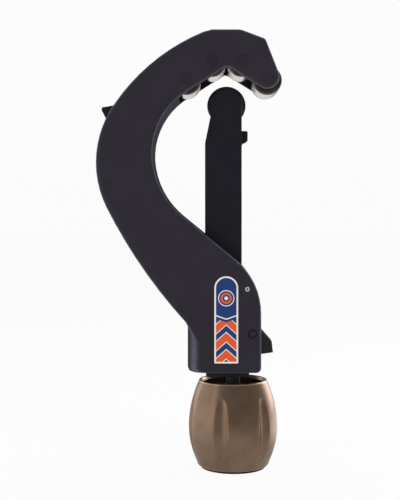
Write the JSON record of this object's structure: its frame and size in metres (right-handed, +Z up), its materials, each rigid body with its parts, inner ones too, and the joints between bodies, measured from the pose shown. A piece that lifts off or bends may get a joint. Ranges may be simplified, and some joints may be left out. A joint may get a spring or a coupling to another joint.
{
  "type": "tubing cutter",
  "caption": "Quick-acting tubing cutter: C-frame with rollers, sliding cutter wheel, feed screw, release latch, fold-away reamer and fluted knob.",
  "frame": {"origin": "centre of the flat base of the knob's cap, on the feed screw's axis", "axes": "+Z up the feed screw towards the rollers, +X from the spine of the C-frame to its open side, Y along the rollers and pivots"},
  "size_m": [0.0906, 0.0442, 0.2156],
  "materials": {
    "powder_coat": "cast aluminium under fine-textured charcoal powder coat",
    "painted_pin": "steel pin under the same charcoal coat",
    "chrome": "bright plated steel",
    "blackened_steel": "satin black oxide",
    "tool_steel": "dark hardened tool steel",
    "screw_steel": "dark oiled steel",
    "bright_steel": "bright turned steel",
    "brass": "turned brass",
    "bronze_paint": "cast aluminium under satin bronze metallic paint",
    "black_plastic": "moulded black plastic"
  },
  "bodies": {
    "frame_body": {"frame": "powder_coat", "roller_pin_1": "painted_pin", "roller_pin_2": "painted_pin", "roller_pin_3": "painted_pin", "roller_pin_4": "painted_pin", "latch_pin": "painted_pin", "spring_pin": "bright_steel", "latch_spring": "bright_steel", "reamer_pin": "painted_pin"},
    "roller_body_1": {"roller_1": "chrome"},
    "roller_body_2": {"roller_2": "chrome"},
    "roller_body_3": {"roller_3": "chrome"},
    "roller_body_4": {"roller_4": "chrome"},
    "slide_body": {"slide": "blackened_steel", "travel_stop": "blackened_steel", "travel_stop_pin": "blackened_steel", "wheel_pin": "blackened_steel", "wheel_spacer_near": "bright_steel", "wheel_spacer_far": "bright_steel", "thrust_block": "blackened_steel", "block_pin": "blackened_steel", "thrust_washer": "brass"},
    "wheel_body": {"cutter_wheel": "tool_steel"},
    "knob_body": {"feed_screw": "screw_steel", "retaining_ring": "blackened_steel", "knob": "bronze_paint", "knob_cap": "black_plastic", "knob_nut": "bright_steel"},
    "latch_body": {"latch": "blackened_steel", "half_nut": "brass"},
    "reamer_body": {"reamer": "blackened_steel"}
  },
  "joints": [
    {"name": "roller_1_spin", "type": "hinge", "parent": "frame_body", "child": "roller_body_1", "pos_m": [-0.0232, 0, 0.1916], "axis": [0, 1, 0], "continuous": true},
    {"name": "roller_2_spin", "type": "hinge", "parent": "frame_body", "child": "roller_body_2", "pos_m": [-0.01065, 0, 0.2005], "axis": [0, 1, 0], "continuous": true},
    {"name": "roller_3_spin", "type": "hinge", "parent": "frame_body", "child": "roller_body_3", "pos_m": [0.00405, 0, 0.2005], "axis": [0, 1, 0], "continuous": true},
    {"name": "roller_4_spin", "type": "hinge", "parent": "frame_body", "child": "roller_body_4", "pos_m": [0.0166, 0, 0.1916], "axis": [0, 1, 0], "continuous": true},
    {"name": "slide_travel", "type": "slide", "parent": "frame_body", "child": "slide_body", "axis": [0, 0, 1], "range_m": [-0.058, 0]},
    {"name": "wheel_spin", "type": "hinge", "parent": "slide_body", "child": "wheel_body", "pos_m": [-0.0033, 0, 0.1802], "axis": [0, 1, 0], "continuous": true},
    {"name": "knob_spin", "type": "hinge", "parent": "slide_body", "child": "knob_body", "pos_m": [0, 0, 0.0436], "axis": [0, 0, 1], "range_deg": [-10440, 0]},
    {"name": "latch_release", "type": "hinge", "parent": "frame_body", "child": "latch_body", "pos_m": [0.00885, 0, 0.0683], "axis": [0, 1, 0], "range_deg": [0, 5], "stiffness_Nm_per_rad": 0.05, "springref_deg": -20.05, "deforming": ["latch_spring"]},
    {"name": "reamer_fold", "type": "hinge", "parent": "frame_body", "child": "reamer_body", "pos_m": [-0.06111, 0, 0.1417], "axis": [0, -1, 0], "range_deg": [0, 130]}
  ],
  "couplings": [
    {"joint": "knob_spin", "follows": "slide_travel", "rad_per_m": 3141.6}
  ]
}
